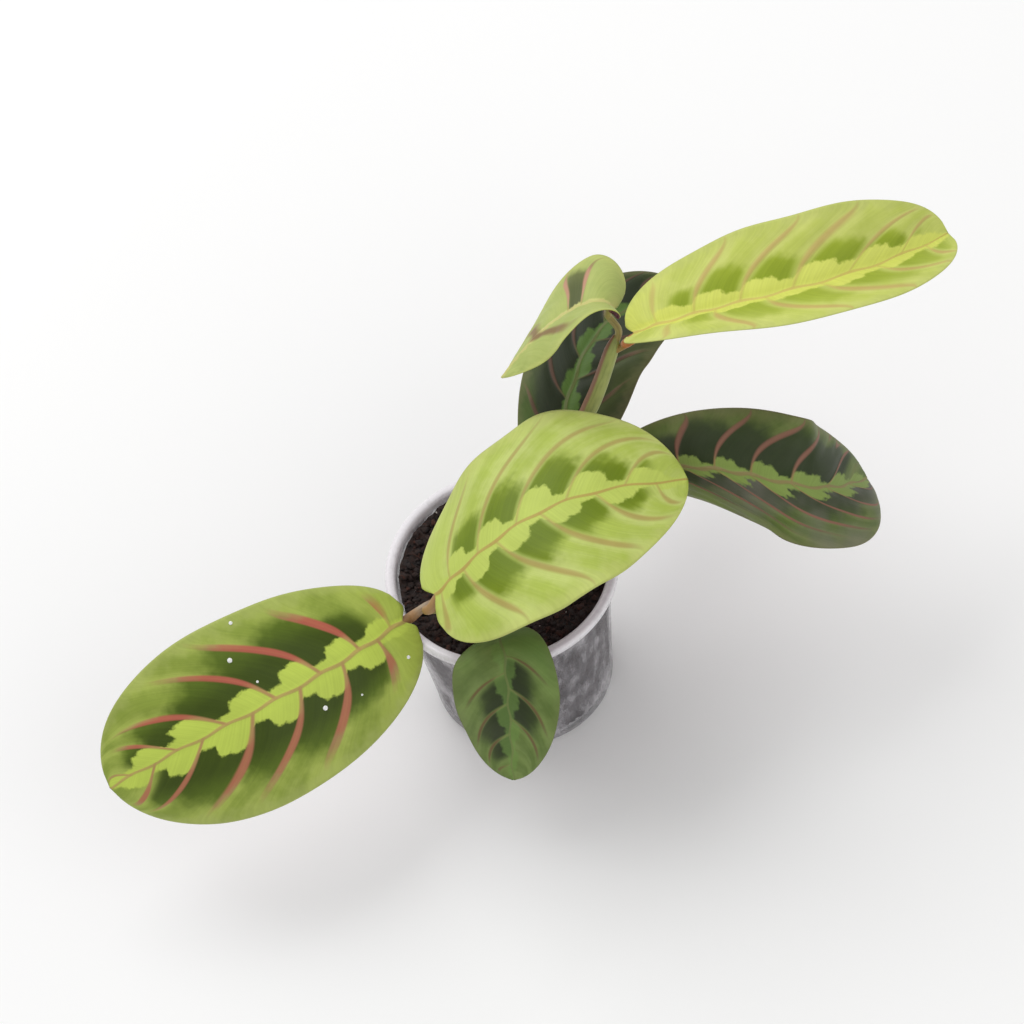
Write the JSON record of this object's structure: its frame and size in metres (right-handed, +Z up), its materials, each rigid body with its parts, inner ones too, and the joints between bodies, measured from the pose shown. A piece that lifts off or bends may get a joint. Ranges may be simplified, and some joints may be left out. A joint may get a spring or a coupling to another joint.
{
  "type": "potted prayer plant",
  "caption": "Young prayer plant (maranta) with patterned, veined leaves on thin stalks, in a small clear plastic nursery pot filled with dark peat.",
  "frame": {"origin": "centre of the pot's flat base, on the surface that it stands on", "axes": "+Z up out of the pot, +Y away from the side that the low front leaf hangs over, +X towards the long upper leaf"},
  "size_m": [0.2122, 0.1482, 0.1255],
  "materials": {
    "clear_plastic": "thin clear plastic, lightly clouded",
    "peat": "moist dark peat with crumbs and fibres",
    "leaf_margined": "soft satin, green edge, dark patches, red veins",
    "leaf_pale": "soft satin, yellow-green with olive patches and pinkish-beige veins",
    "leaf_dark": "soft satin, dark green with a pale centre band and pink-brown veins",
    "stalk": "satin, olive sheath with a red-brown edge, thin olive-brown stalks"
  },
  "bodies": {
    "root": {"pot": "clear_plastic", "soil": "peat", "shoot_stem": "stalk", "stalk_a": "stalk", "stalk_b": "stalk", "stalk_c": "stalk", "stalk_d": "stalk", "stalk_e": "stalk", "stalk_f": "stalk", "stalk_g": "stalk", "leaf_a": "leaf_margined", "leaf_b": "leaf_pale", "leaf_c": "leaf_dark", "leaf_d": "leaf_dark", "leaf_e": "leaf_pale", "leaf_f": "leaf_dark", "leaf_g": "leaf_pale"}
  },
  "joints": []
}
